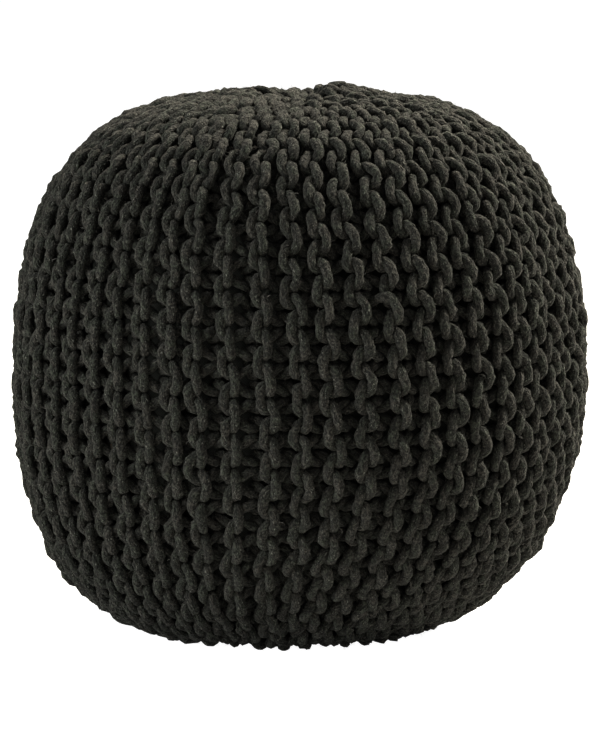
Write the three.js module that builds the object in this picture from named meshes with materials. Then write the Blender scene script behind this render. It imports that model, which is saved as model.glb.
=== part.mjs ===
import * as THREE from "three";

// A round floor pouf in thick cotton rope, knitted sideways in garter stitch and filled firm.
// The ridges of the knitting run from the gathered crown to the base like the lines of a melon.
// Millimetres, Z up. The origin is the middle of the flat base, and X points to the right.

// Driving dimensions
const WIDTH = 406; // over the ridges, where the pouf is fullest
const HEIGHT = 380; // from the floor to the highest ring of the crown
const WIDEST = 174; // height of the fullest ring above the floor
const BASE_SAG = 7.5; // what the floor takes off the bottom of the round profile
const RIDGES = 56; // ridges of the knitting around the widest height
const RIDGE_DEPTH = 6; // from the top of a ridge down to the valley beside it
const RIDGE_FADE = { flat: 42, full: 118 }; // distances from the axis where ridges die and stand full
const BASE_FADE = 26; // height above the floor where the ridges stand full again
const CROWN_DIMPLE = { radius: 48, depth: 9 }; // the soft hollow that the gathering draws in
const GATHER = { radius: 15, depth: 8 }; // the closed mouth in the middle of that hollow
const LEAN = { height: 165, shift: -9, power: 1.6 }; // the sagging foot lies to the left
const RIDGE_DRIFT = { turn: 0.035, waves: 1.5 }; // radians by which a ridge wanders up its length

// Exponents of the side profile, 2 and 2 on a ball: across is larger on flatter ends, up on fuller sides
const SIDE = {
  above: { across: 3.5, up: 2.36 },
  below: { across: 3.4, up: 1.92 },
};

// Soft unevenness of the filling: waves around the pouf and up its side, and their size
const LUMPS = [
  { around: 2, up: 1, size: 1.1, turn: 0.4 },
  { around: 3, up: 2, size: 0.8, turn: 1.9 },
  { around: 5, up: 3, size: 0.5, turn: 4.1 },
];

// Fineness of the mesh
const POINTS_PER_RIDGE = 3; // the valley and both shoulders of the ridge's top
const RINGS = 22; // rings of points between the rim of the base and the gathered mouth

const BLACK_COTTON = new THREE.MeshStandardMaterial({
  name: "charcoal cotton rope",
  color: 0x23231f,
  roughness: 0.95,
  metalness: 0,
});

const smooth = THREE.MathUtils.smoothstep;

// Distance from the axis and height on the round side profile, for a turn of -90 to 90 degrees.
function sideProfile(turn) {
  const half = turn < 0 ? SIDE.below : SIDE.above;
  const reach = turn < 0 ? WIDEST + BASE_SAG : HEIGHT - WIDEST;
  const across = Math.pow(Math.cos(turn), 2 / half.across);
  const up = Math.sign(turn) * Math.pow(Math.abs(Math.sin(turn)), 2 / half.up);
  return new THREE.Vector2((across * WIDTH) / 2, WIDEST + up * reach);
}

// The turn at which the side profile meets the floor.
function floorTurn() {
  return -Math.asin(Math.pow(WIDEST / (WIDEST + BASE_SAG), SIDE.below.up / 2));
}

// The turn at which the side profile comes in to the gathered mouth.
function mouthTurn() {
  return Math.acos(Math.pow((2 * GATHER.radius) / WIDTH, SIDE.above.across / 2));
}

// The side from floor to mouth in even steps along its length.
function sidePoints() {
  const fine = 600;
  const start = floorTurn();
  const turns = Array.from({ length: fine + 1 }, (_, i) => start + ((mouthTurn() - start) * i) / fine);
  const curve = turns.map(sideProfile);
  const lengths = [0];
  curve.slice(1).forEach((p, i) => lengths.push(lengths[i] + p.distanceTo(curve[i])));
  const whole = lengths[fine];
  return Array.from({ length: RINGS + 1 }, (_, ring) => {
    const at = lengths.findIndex((l) => l >= (whole * ring) / RINGS - 1e-9);
    return curve[at].clone();
  });
}

// The whole profile, from the middle of the base round to the middle of the mouth.
function profile() {
  const side = sidePoints();
  side[0].y = 0;
  side.forEach((p) => {
    const inward = Math.max(0, 1 - p.x / CROWN_DIMPLE.radius);
    if (p.y > HEIGHT / 2) p.y -= CROWN_DIMPLE.depth * inward * inward;
  });
  const highest = Math.max(...side.map((p) => p.y));
  side.forEach((p) => (p.y *= HEIGHT / highest));
  const mouth = side[side.length - 1].y;
  return [new THREE.Vector2(0, 0), ...side, new THREE.Vector2(0, mouth - GATHER.depth)];
}

// How far a point lies below the ridges' tops: full in a valley, nothing on a ridge.
function valleyDepth(column, radius, height) {
  if (column % POINTS_PER_RIDGE !== 0) return 0;
  const standing = smooth(radius, RIDGE_FADE.flat, RIDGE_FADE.full);
  const clearOfFloor = height > HEIGHT / 2 ? 1 : smooth(height, 0, BASE_FADE);
  return RIDGE_DEPTH * standing * clearOfFloor;
}

// The filling's unevenness at an angle and height, nothing at the floor and the mouth.
function lump(angle, height) {
  const up = height / HEIGHT;
  const wave = ({ around, up: waves, size, turn }) =>
    size * Math.sin(around * angle + turn) * Math.sin(Math.PI * waves * up);
  return LUMPS.reduce((sum, row) => sum + wave(row), 0);
}

// How far the foot has sagged to one side at a height.
function lean(height) {
  return LEAN.shift * Math.pow(Math.max(0, 1 - height / LEAN.height), LEAN.power);
}

// The knitted shell as one closed, filled body: the turned profile with its ridges raised.
function poufGeometry() {
  const outline = profile();
  const columns = RIDGES * POINTS_PER_RIDGE;
  const geometry = new THREE.LatheGeometry(outline, columns);
  const position = geometry.getAttribute("position");
  for (let i = 0; i < position.count; i++) {
    const row = i % outline.length;
    const column = Math.floor(i / outline.length) % columns;
    const before = outline[Math.max(row - 1, 0)];
    const after = outline[Math.min(row + 1, outline.length - 1)];
    const along = after.clone().sub(before).normalize();
    const { x: radius, y: height } = outline[row];
    const flat = row === 0 || row === 1 || row === outline.length - 1;
    const depth = flat ? 0 : valleyDepth(column, radius, height);
    const swell = radius > 0 && !flat ? lump((column / columns) * 2 * Math.PI, height) : 0;
    const inset = depth - swell;
    const r = radius - inset * along.y;
    const z = Math.min(HEIGHT, height + inset * along.x);
    const wander = RIDGE_DRIFT.turn * Math.sin(Math.PI * RIDGE_DRIFT.waves * (height / HEIGHT));
    const angle = (column / columns) * 2 * Math.PI + wander;
    position.setXYZ(i, r * Math.cos(angle) + lean(height), r * Math.sin(angle), z);
  }
  geometry.deleteAttribute("normal");
  geometry.deleteAttribute("uv");
  geometry.computeBoundingBox();
  const middle = geometry.boundingBox.getCenter(new THREE.Vector3());
  geometry.translate(-middle.x, -middle.y, 0);
  geometry.computeVertexNormals();
  return geometry;
}

const pouf = new THREE.Mesh(poufGeometry(), BLACK_COTTON);
pouf.name = "knitted_pouf";

const group = new THREE.Group();
group.name = "rope pouf";
group.add(pouf);

export default group;
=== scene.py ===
import logging
import math
from dataclasses import dataclass, field
from enum import Enum
from typing import Any, Mapping, Sequence

import bmesh
import bpy
import numpy as np
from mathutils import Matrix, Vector


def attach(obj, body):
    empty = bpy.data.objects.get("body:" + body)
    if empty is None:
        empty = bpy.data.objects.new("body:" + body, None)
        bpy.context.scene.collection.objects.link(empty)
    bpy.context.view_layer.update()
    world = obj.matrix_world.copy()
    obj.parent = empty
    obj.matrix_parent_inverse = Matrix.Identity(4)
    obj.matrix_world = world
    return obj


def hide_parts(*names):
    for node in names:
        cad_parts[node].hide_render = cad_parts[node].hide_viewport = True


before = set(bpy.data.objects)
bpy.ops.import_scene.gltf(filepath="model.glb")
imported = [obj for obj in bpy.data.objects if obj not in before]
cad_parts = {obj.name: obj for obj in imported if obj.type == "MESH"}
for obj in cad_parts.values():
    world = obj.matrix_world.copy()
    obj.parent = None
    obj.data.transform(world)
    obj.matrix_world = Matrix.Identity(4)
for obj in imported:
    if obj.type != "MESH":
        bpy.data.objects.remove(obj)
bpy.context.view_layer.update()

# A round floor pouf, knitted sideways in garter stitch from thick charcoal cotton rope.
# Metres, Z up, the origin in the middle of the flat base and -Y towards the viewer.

NODE = "knitted_pouf"
BODY = "root"
# The tone mark carries the rope's random tone with its painted shade, and the loose fibres' tone.
LAY, TOP, TONE_AND_SHADE = "rope_lay", "rope_top", "rope_tone_and_shade"
UV_MAP = "OFBake"
FULL_TURN = 2 * math.pi
FRONT = -math.pi / 2
TINY = 1e-9  # keeps a length that is divided by from being nothing
PROBE = 0.001  # how far a point is raised to see which way is outwards

log = logging.getLogger("pouf")
Array = np.ndarray


def unit(vectors: Array) -> Array:
    """Brings each row to a length of one."""
    return vectors / np.linalg.norm(vectors, axis=1)[:, None]


def eased(share: Array) -> Array:
    """Makes an even way from 0 to 1 start and end softly."""
    return share * share * (3 - 2 * share)


def bowl(distance: Array, size: float, depth: float) -> Array:
    """Gives the depth of a round hollow at distances from its middle."""
    return depth * np.clip(1 - distance / size, 0, 1) ** 2


# The form

@dataclass(frozen=True)
class Meridian:
    """The side line of the pouf from the middle of the crown to the middle of the base.

    Attributes:
        run: length along the line from the crown, in even steps.
        radius: distance from the axis.
        height: height above the floor.
        out_r: outward direction's share away from the axis.
        out_z: outward direction's share upwards.
    """

    run: Array
    radius: Array
    height: Array
    out_r: Array
    out_z: Array

    def at(self, run: Array, values: Array) -> Array:
        """Reads one of the line's values at a length from the crown."""
        return np.interp(run, self.run, values)

    def widest(self) -> int:
        """Gives the index of the fullest point."""
        return int(np.argmax(self.radius))

    def crown_run(self, radius: float) -> float:
        """Gives the length from the crown at which the upper half reaches a radius."""
        k = self.widest()
        return float(np.interp(radius, self.radius[:k], self.run[:k]))

    def base_run(self, radius: float) -> float:
        """Gives the length from the crown at which the lower half comes in to a radius."""
        k = self.widest()
        return float(np.interp(radius, self.radius[k:][::-1], self.run[k:][::-1]))


@dataclass(frozen=True)
class PoufForm:
    """The filled form out to the tops of the ridges.

    Attributes:
        width: over the ridges, where it is fullest.
        height: from the floor to the highest ring of the crown.
        widest: height of the fullest ring.
        base_sag: what the floor takes off the bottom of the round side line.
        above: exponents of the side line over the fullest ring, across and up.
        below: the same under it.
        dimple: radius and depth of the hollow in the crown.
        mouth: the same for the gathered mouth in it.
        base_hollow: the same in the middle of the base.
        lean_height: height under which the foot sags to one side.
        lean_shift: how far it sags.
        lean_power: how suddenly.
        drift_turn: angle by which a ridge wanders.
        drift_waves: half waves of that up its length.
        lumps: waves around, half waves up, size and turn of the filling's unevenness.
        puffs: place, radius and rise of the soft swellings beside the crown's mouth.
        trace_points: points in which the side line is first drawn.
        line_steps: even steps of the finished side line.
        blur_points: points of it over which its outward direction is evened.
    """

    width: float = 0.406
    height: float = 0.380
    widest: float = 0.174
    base_sag: float = 0.0075
    above: tuple[float, float] = (3.5, 2.36)
    below: tuple[float, float] = (3.4, 1.92)
    dimple: tuple[float, float] = (0.048, 0.009)
    mouth: tuple[float, float] = (0.024, 0.008)
    base_hollow: tuple[float, float] = (0.030, 0.006)
    lean_height: float = 0.165
    lean_shift: float = -0.009
    lean_power: float = 1.6
    drift_turn: float = 0.035
    drift_waves: float = 1.5
    lumps: tuple[tuple[float, float, float, float], ...] = (
        (2, 1, 0.0011, 0.4),
        (3, 2, 0.0008, 1.9),
        (5, 3, 0.0005, 4.1),
        (1, 2, 0.0010, -1.57),
    )
    puffs: tuple[tuple[float, float, float, float], ...] = (
        (-0.028, 0.006, 0.017, 0.0068),
        (0.022, 0.000, 0.021, 0.0120),
    )
    trace_points: int = 4001
    line_steps: int = 1200
    blur_points: int = 25

    def meridian(self) -> Meridian:
        """Traces the side line.

        Returns:
            The line with its outward directions.
        """
        turn = np.linspace(math.pi / 2, -math.pi / 2, self.trace_points)
        low = turn < 0
        across = np.where(low, self.below[0], self.above[0])
        up = np.where(low, self.below[1], self.above[1])
        radius = self.width / 2 * np.cos(turn).clip(0) ** (2 / across)
        reach = np.where(low, self.widest + self.base_sag, self.height - self.widest)
        rise = np.sign(np.sin(turn)) * np.abs(np.sin(turn)) ** (2 / up)
        height = np.maximum(self.widest + rise * reach, 0)
        draw = sum(bowl(radius, *hollow) for hollow in (self.dimple, self.mouth))
        height = np.where(low, height + bowl(radius, *self.base_hollow), height - draw)
        run = np.concatenate([[0], np.cumsum(np.hypot(np.diff(radius), np.diff(height)))])
        even = np.linspace(0, run[-1], self.line_steps + 1)
        radius, height = np.interp(even, run, radius), np.interp(even, run, height)
        blur = np.hanning(self.blur_points)
        blur /= blur.sum()
        go_r, go_z = (np.convolve(np.pad(np.gradient(v, even), len(blur) // 2, mode="edge"), blur, "valid")
                      for v in (radius, height))
        size = np.hypot(go_r, go_z)
        return Meridian(even, radius, height, -go_z / size, go_r / size)

    def lump(self, azimuth: Array, height: Array) -> Array:
        """Gives the filling's unevenness, nothing at the floor and the crown."""
        up = height / self.height
        return sum(size * np.sin(around * azimuth + turn) * np.sin(math.pi * waves * up)
                   for around, waves, size, turn in self.lumps)

    def lean(self, height: Array) -> Array:
        """Gives the foot's sag to one side at a height."""
        return self.lean_shift * np.clip(1 - height / self.lean_height, 0, None) ** self.lean_power

    def place(self, line: Meridian, run: Array, azimuth: Array, depth: Array) -> Array:
        """Puts points of the cover in space.

        Args:
            line: the side line.
            run: length of each point from the crown.
            azimuth: angle of each point about the axis.
            depth: how far each point lies under the tops of the ridges.

        Returns:
            The points, one row each.
        """
        radius, height = line.at(run, line.radius), line.at(run, line.height)
        inset = depth - self.lump(azimuth, height)
        rho = radius - inset * line.at(run, line.out_r)
        z = height - inset * line.at(run, line.out_z)
        angle = azimuth + self.drift_turn * np.sin(math.pi * self.drift_waves * height / self.height)
        x, y = rho * np.cos(angle) + self.lean(z), rho * np.sin(angle)
        puff = sum(rise * np.exp(-((x - px) ** 2 + (y - py) ** 2) / size ** 2)
                   for px, py, size, rise in self.puffs)
        return np.stack([x, y, np.where(z > self.height / 2, z + puff, z)], 1)


# The stitch

@dataclass(frozen=True)
class Gauge:
    """The rope, the tightness of the knitting and the shape of its stitch.

    Attributes:
        rope: thickness of the rope.
        contact: distance between the middles of two ropes that press together.
        stitch_count: stitches along a full ridge.
        rope_per_stitch: length to which a row is pulled for each stitch.
        slant: how far a lobe's middle runs ahead of its stitch, in radians.
        spread: how far a lobe's ends open along the ridge, as a share of the stitch.
        hooks: how far the heads and the sinkers pass the middle of their ridge.
        bulges: how much further from the ridge's middle the heads and the sinkers bow out at the top.
        bulge_power: how late on the way up they do.
        roll: how steeply a ridge is turned over, its right side up.
        sink: how much deeper a row goes as it leaves the ridge.
        sink_from: where the heads' and the sinkers' rows begin to, in ridge widths from its middle.
        sink_over: over how many ridge widths they do.
        lift: how much higher the sinkers' row stays beside the valley.
        lift_at: where it does, in ridge widths from the ridge's middle.
        lift_reach: how far to either side, in ridge widths.
        loose_depth: half the thickness of the knitting before it settles.
        points: points along a stitch.
        widths: ridge widths for which a stitch is settled.
    """

    rope: float = 0.0067
    contact: float = 0.0063
    stitch_count: int = 26
    rope_per_stitch: float = 0.058
    slant: float = 0.07
    spread: float = 0.24
    hooks: tuple[float, float] = (0.0045, 0.0040)
    bulges: tuple[float, float] = (0.14, -0.12)
    bulge_power: float = 1.3
    roll: float = 0.28
    sink: float = 0.0030
    sink_from: tuple[float, float] = (0.20, 0.47)
    sink_over: float = 0.18
    lift: float = 0.0012
    lift_at: float = 0.42
    lift_reach: float = 0.09
    loose_depth: float = 0.013
    points: int = 20
    widths: tuple[float, ...] = (0.0120, 0.0150, 0.0190, 0.0230, 0.0280)


class Row(Enum):
    """The two rows of rope in a ridge, by the side on which their lobes meet the ridge's middle."""

    HEADS = 1
    SINKERS = -1


@dataclass(frozen=True)
class RepeatStitch:
    """One stitch of both rows of a ridge, settled in an endless flat repeat of itself.

    Attributes:
        gauge: the rope and the tightness.
        stitch: length of the stitch along its ridge.
        width: distance from one ridge to the next.
        rounds: number of rounds.
        skip: share of the stitch within which points on one rope don't push each other.
        push: share of an overlap that is taken out in a round.
        crowd: share of the ropes touching a point by which its push is divided.
        pulls: times that the rope is brought to its length in a round.
        pull: share of a wrong length that either end of a link takes out each time.
        ease: share of a bend that is taken out in a round.
        pressed: share of the rounds in which the knitting is pressed flatter.
        press: share of its thickness that such a round leaves.
    """

    gauge: Gauge
    stitch: float
    width: float
    rounds: int = 260
    skip: float = 0.2
    push: float = 0.7
    crowd: float = 0.5
    pulls: int = 2
    pull: float = 0.225
    ease: float = 0.03
    pressed: float = 0.8
    press: float = 0.9975

    def loose(self) -> Array:
        """Lays both rows in wide waves that already hook into each other.

        Returns:
            The points, the heads' row first.
        """
        g = self.gauge
        turn = np.arange(g.points) / g.points - 0.5
        wave = FULL_TURN * turn
        rows = []
        for row, hook in zip(Row, g.hooks):
            down = self.stitch * (turn + g.spread * np.sin(2 * wave))
            right = -row.value * self.width / 4 + (self.width / 4 + hook) * np.cos(wave - g.slant)
            out = row.value * g.loose_depth * np.cos(wave)
            rows.append(np.stack([down, right, out], 1))
        return np.concatenate(rows)

    def neighbours(self, copies: Array) -> Array:
        """Tells which points lie close along one rope.

        Args:
            copies: moves to the stitch's copies.

        Returns:
            For each copy, and each point against each point of that copy, whether they do.
        """
        n = self.gauge.points
        row, number = np.divmod(np.arange(2 * n), n)
        ahead = np.round(copies[:, 0] / self.stitch)[:, None, None] * n
        gap = np.abs(number[:, None] - number - ahead)
        same_ridge = (np.abs(copies[:, 1]) < self.gauge.rope / 2)[:, None, None]
        return (row[:, None] == row) & same_ridge & (gap <= self.skip * n)

    def push_apart(self, x: Array, copies: Array, near: Array) -> Array:
        """Pushes the points away from all ropes that press on them.

        Args:
            x: the points.
            copies: moves to the stitch's copies.
            near: which points lie close along one rope.

        Returns:
            The moved points.
        """
        away = x[:, None] - x - copies[:, None, None]
        apart = np.sqrt((away ** 2).sum(-1)) + TINY
        over = np.where(near, 0, np.clip(self.gauge.contact - apart, 0, None))
        push = (away * (0.5 * over / apart)[..., None]).sum((0, 2))
        return x + self.push * push / np.maximum(1, self.crowd * (over > 0).sum((0, 2)))[:, None]

    def settle(self) -> dict[Row, Array]:
        """Pulls the rows to their real length while crossing ropes push each other away.

        Returns:
            For each row its points: down the ridge, to the right, and outwards.
        """
        n = self.gauge.points
        x = self.loose()
        start = x.copy()
        after = np.concatenate([np.roll(np.arange(n), -1), n + np.roll(np.arange(n), -1)])
        before = np.argsort(after)
        wrap = np.zeros((2 * n, 3))
        wrap[[n - 1, 2 * n - 1], 0] = self.stitch
        copies = np.array([[a * self.stitch, b * self.width, 0.0]
                           for a in (-2, -1, 0, 1, 2) for b in (-1, 0, 1)])
        near = self.neighbours(copies)
        piece = self.gauge.rope_per_stitch / n
        for step in range(self.rounds):
            x = self.push_apart(x, copies, near)
            for _ in range(self.pulls):
                link = x[after] + wrap - x
                length = np.sqrt((link ** 2).sum(1)) + TINY
                pull = link * (self.pull * (length - piece) / length)[:, None]
                x = x + pull - pull[before]
            x = x + self.ease * (0.5 * (x[after] + wrap + x[before] - wrap[before]) - x)
            if step < self.pressed * self.rounds:
                x[:, 2] *= self.press
            for part in (slice(0, n), slice(n, 2 * n)):
                x[part, :2] += (start[part, :2] - x[part, :2]).mean(0)
        self.shape(x)
        return {Row.HEADS: x[:n], Row.SINKERS: x[n:]}

    def shape(self, x: Array) -> None:
        """Bows the lobes out, rolls the ridge over and sets how deep the rows cross the valley.

        Args:
            x: the settled points, which are moved.
        """
        g = self.gauge
        row = np.repeat([0, 1], g.points)
        x[:, 1] *= 1 + np.array(g.bulges)[row] * np.clip(x[:, 2] / x[:, 2].max(), 0, 1) ** g.bulge_power
        flank = np.clip(2 * x[:, 1] / self.width, -1, 1)
        x[:, 2] += g.roll * self.width / 2 * flank * (1 - flank ** 2)
        aside = np.where(row == 0, -x[:, 1], x[:, 1]) / self.width
        x[:, 2] -= g.sink * eased(np.clip((aside - np.array(g.sink_from)[row]) / g.sink_over, 0, 1))
        x[:, 2] += np.where(row == 1, g.lift * np.exp(-((aside - g.lift_at) / g.lift_reach) ** 2), 0)
        x[:, 2] -= x[:, 2].max() + g.rope / 2


@dataclass
class StitchBook:
    """Settled stitches for a few ridge widths, read in between.

    Attributes:
        gauge: the rope and the tightness.
        stitch: length of a stitch along its ridge.
        beyond: how far the reading may go on past two pages, as shares of the way between them.
        pages: for each row its settled points, one page for each width.
    """

    gauge: Gauge
    stitch: float
    beyond: tuple[float, float] = (-0.15, 1.2)
    pages: dict[Row, Array] = field(default_factory=dict)

    def fill(self) -> None:
        """Settles one stitch for each width."""
        settled = [RepeatStitch(self.gauge, self.stitch, w).settle() for w in self.gauge.widths]
        self.pages = {row: np.stack([s[row] for s in settled]) for row in Row}

    def read(self, row: Row, number: Array, width: Array) -> Array:
        """Looks a stitch's points up.

        Args:
            row: the row of rope.
            number: index of each point in its stitch.
            width: width of the ridge at each point.

        Returns:
            Each point's place: down the ridge, to the right, and outwards.
        """
        widths = np.array(self.gauge.widths)
        page = np.clip(np.searchsorted(widths, width) - 1, 0, len(widths) - 2)
        share = (width - widths[page]) / (widths[page + 1] - widths[page])
        share = np.clip(share, *self.beyond)[:, None]
        pages = self.pages[row]
        return pages[page, number] * (1 - share) + pages[page + 1, number] * share


# The ridges

@dataclass(frozen=True)
class RidgeLayout:
    """Where each ridge lies.

    Attributes:
        line: the side line.
        top: length from the crown at which the longest ridges begin.
        stitch: length of a stitch.
        first: number of each ridge's first stitch.
        last: number of each ridge's last stitch.
        swing: how far each ridge's lobes swing to either side.
        relief: share of its relief that each ridge keeps.
        share: angle that each ridge takes, at each step of the side line.
        middle: angle of each ridge's middle there.
        least_radius: distance from the axis inside which a ridge grows no wider in angle.
    """

    line: Meridian
    top: float
    stitch: float
    first: Array
    last: Array
    swing: Array
    relief: Array
    share: Array
    middle: Array
    least_radius: float = 0.006

    def width(self, ridge: int, run: Array) -> Array:
        """Gives the width of a ridge at lengths from the crown."""
        return self.line.at(run, self.share[ridge] * self.line.radius)

    def azimuth(self, ridge: int, run: Array, right: Array) -> Array:
        """Turns a distance to the right of a ridge's middle into an angle about the axis."""
        radius = np.maximum(self.line.at(run, self.line.radius), self.least_radius)
        return self.line.at(run, self.middle[ridge]) + right / radius


@dataclass(frozen=True)
class RidgePlan:
    """Which ridges run how far, and how wide they are.

    Attributes:
        count: ridges around the widest height.
        front_start: angle from the front at which the given ridges begin, in degrees.
        front_widths: widths of the ridges at the front, in degrees, from left to right.
        spread: unevenness of the other ridges.
        width_limits: narrowest and widest of them, as shares of their mean.
        sway: how far the lobes swing to either side down a ridge, at the front's left and further on.
        sway_from: number of the ridge from which the swing grows.
        sway_over: number of ridges over which it does.
        eased: share of the ridges' relief that is lost where the cover is drawn flatter.
        eased_at: angle from the front at which that is, in degrees.
        eased_width: how far to either side it reaches, in degrees.
        crown_stops: for each ridge's place in eight, how far from the axis it ends in the crown.
        base_stops: the same in the base.
        stop_waver: unevenness of these ends, in stitches.
        mouth: distance from the axis at which the longest ridges end.
        fade: stitches over which a shorter ridge grows to its width.
        fade_lead: stitches before its first one at which it begins to.
    """

    count: int = 56
    front_start: float = -62.2
    front_widths: tuple[float, ...] = (
        6.4, 6.3, 6.6, 6.1, 6.9, 5.1, 5.8, 8.0, 6.2, 6.6, 5.8, 7.0, 6.8, 5.8, 6.3, 6.6, 5.9, 5.8, 5.7, 4.9)
    spread: float = 0.09
    width_limits: tuple[float, float] = (0.75, 1.3)
    sway: tuple[float, float] = (0.0004, 0.0015)
    sway_from: int = 7
    sway_over: int = 5
    eased: float = 0.22
    eased_at: float = -60.0
    eased_width: float = 42.0
    crown_stops: tuple[float, ...] = (0.0, 0.104, 0.050, 0.080, 0.027, 0.092, 0.039, 0.065)
    base_stops: tuple[float, ...] = (0.0, 0.130, 0.060, 0.094, 0.032, 0.114, 0.046, 0.077)
    stop_waver: float = 0.4
    mouth: float = 0.014
    fade: float = 2.0
    fade_lead: float = 0.9

    def draw_ends(self, line: Meridian, full: int, rng: np.random.Generator) -> tuple[Array, Array]:
        """Draws where each ridge begins and ends.

        Args:
            line: the side line.
            full: stitches along a full ridge.
            rng: the source of unevenness.

        Returns:
            The numbers of the ridges' first and last stitches.
        """
        top, bottom = line.crown_run(self.mouth), line.base_run(self.mouth)
        stitch = (bottom - top) / full
        first, last = np.zeros(self.count, int), np.full(self.count, full - 1)
        for m in range(self.count):
            place = m % len(self.crown_stops)
            if place:
                off = rng.uniform(-self.stop_waver, self.stop_waver, 2)
                above = (line.crown_run(self.crown_stops[place]) - top) / stitch
                below = (bottom - line.base_run(self.base_stops[place])) / stitch
                first[m] = max(1, round(above + off[0]))
                last[m] -= max(1, round(below + off[1]))
        return first, last

    def draw_widths(self, rng: np.random.Generator) -> Array:
        """Draws the width of each ridge at the widest height.

        Args:
            rng: the source of unevenness.

        Returns:
            The widths as angles, from the first ridge at the front.
        """
        front = np.radians(self.front_widths)
        rest = rng.normal(1, self.spread, self.count - len(front)).clip(*self.width_limits)
        return np.concatenate([front, rest / rest.sum() * (FULL_TURN - front.sum())])

    def lay_out(self, line: Meridian, gauge: Gauge, rng: np.random.Generator) -> RidgeLayout:
        """Works out each ridge's ends, its share of the round and its angle.

        Args:
            line: the side line.
            gauge: the knitting's gauge.
            rng: the source of unevenness.

        Returns:
            The layout.
        """
        full = gauge.stitch_count
        top = line.crown_run(self.mouth)
        stitch = (line.base_run(self.mouth) - top) / full
        first, last = self.draw_ends(line, full, rng)
        widths = self.draw_widths(rng)
        number = (line.run - top) / stitch
        alive = np.ones((self.count, len(number)))
        for m in range(self.count):
            if first[m]:
                alive[m] *= eased(np.clip((number - first[m] + self.fade_lead) / self.fade, 0, 1))
            if last[m] < full - 1:
                alive[m] *= eased(np.clip((last[m] + 1 + self.fade_lead - number) / self.fade, 0, 1))
            alive[m] *= widths[m]
        total = alive.sum(0)
        share = FULL_TURN * alive / total
        middle = np.cumsum(share, 0) - share / 2
        even = np.cumsum(widths) - widths / 2
        middle -= ((middle - even[:, None]) * alive).sum(0) / total
        middle = middle + FRONT + math.radians(self.front_start)
        grown = np.clip((np.arange(self.count) - self.sway_from) / self.sway_over, 0, 1)
        swing = self.sway[0] + (self.sway[1] - self.sway[0]) * grown
        angle = (np.degrees(even) + self.front_start - self.eased_at + 180) % 360 - 180
        relief = 1 - self.eased * np.exp(-(angle / self.eased_width) ** 2)
        return RidgeLayout(line, top, stitch, first, last, swing, relief, share, middle)


# The rope

@dataclass
class Strand:
    """One row of rope along one ridge.

    Attributes:
        ridge: number of the ridge.
        row: which of the ridge's rows.
        points: places of the rope's middle line.
        depth: how far each point lies under the tops of the ridges.
        outward: direction out of the pouf at each point.
    """

    ridge: int
    row: Row
    points: Array
    depth: Array
    outward: Array


@dataclass(frozen=True)
class Rings:
    """The rings of one rope's surface.

    Attributes:
        number: number of the rope.
        centres: the rings' centres.
        factor: their thickness, as a share of the rope's.
        along: their lengths along the rope.
        top: their shares of the way up to the tops of the ridges.
        outward: directions out of the pouf there.
    """

    number: int
    centres: Array
    factor: Array
    along: Array
    top: Array
    outward: Array


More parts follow.
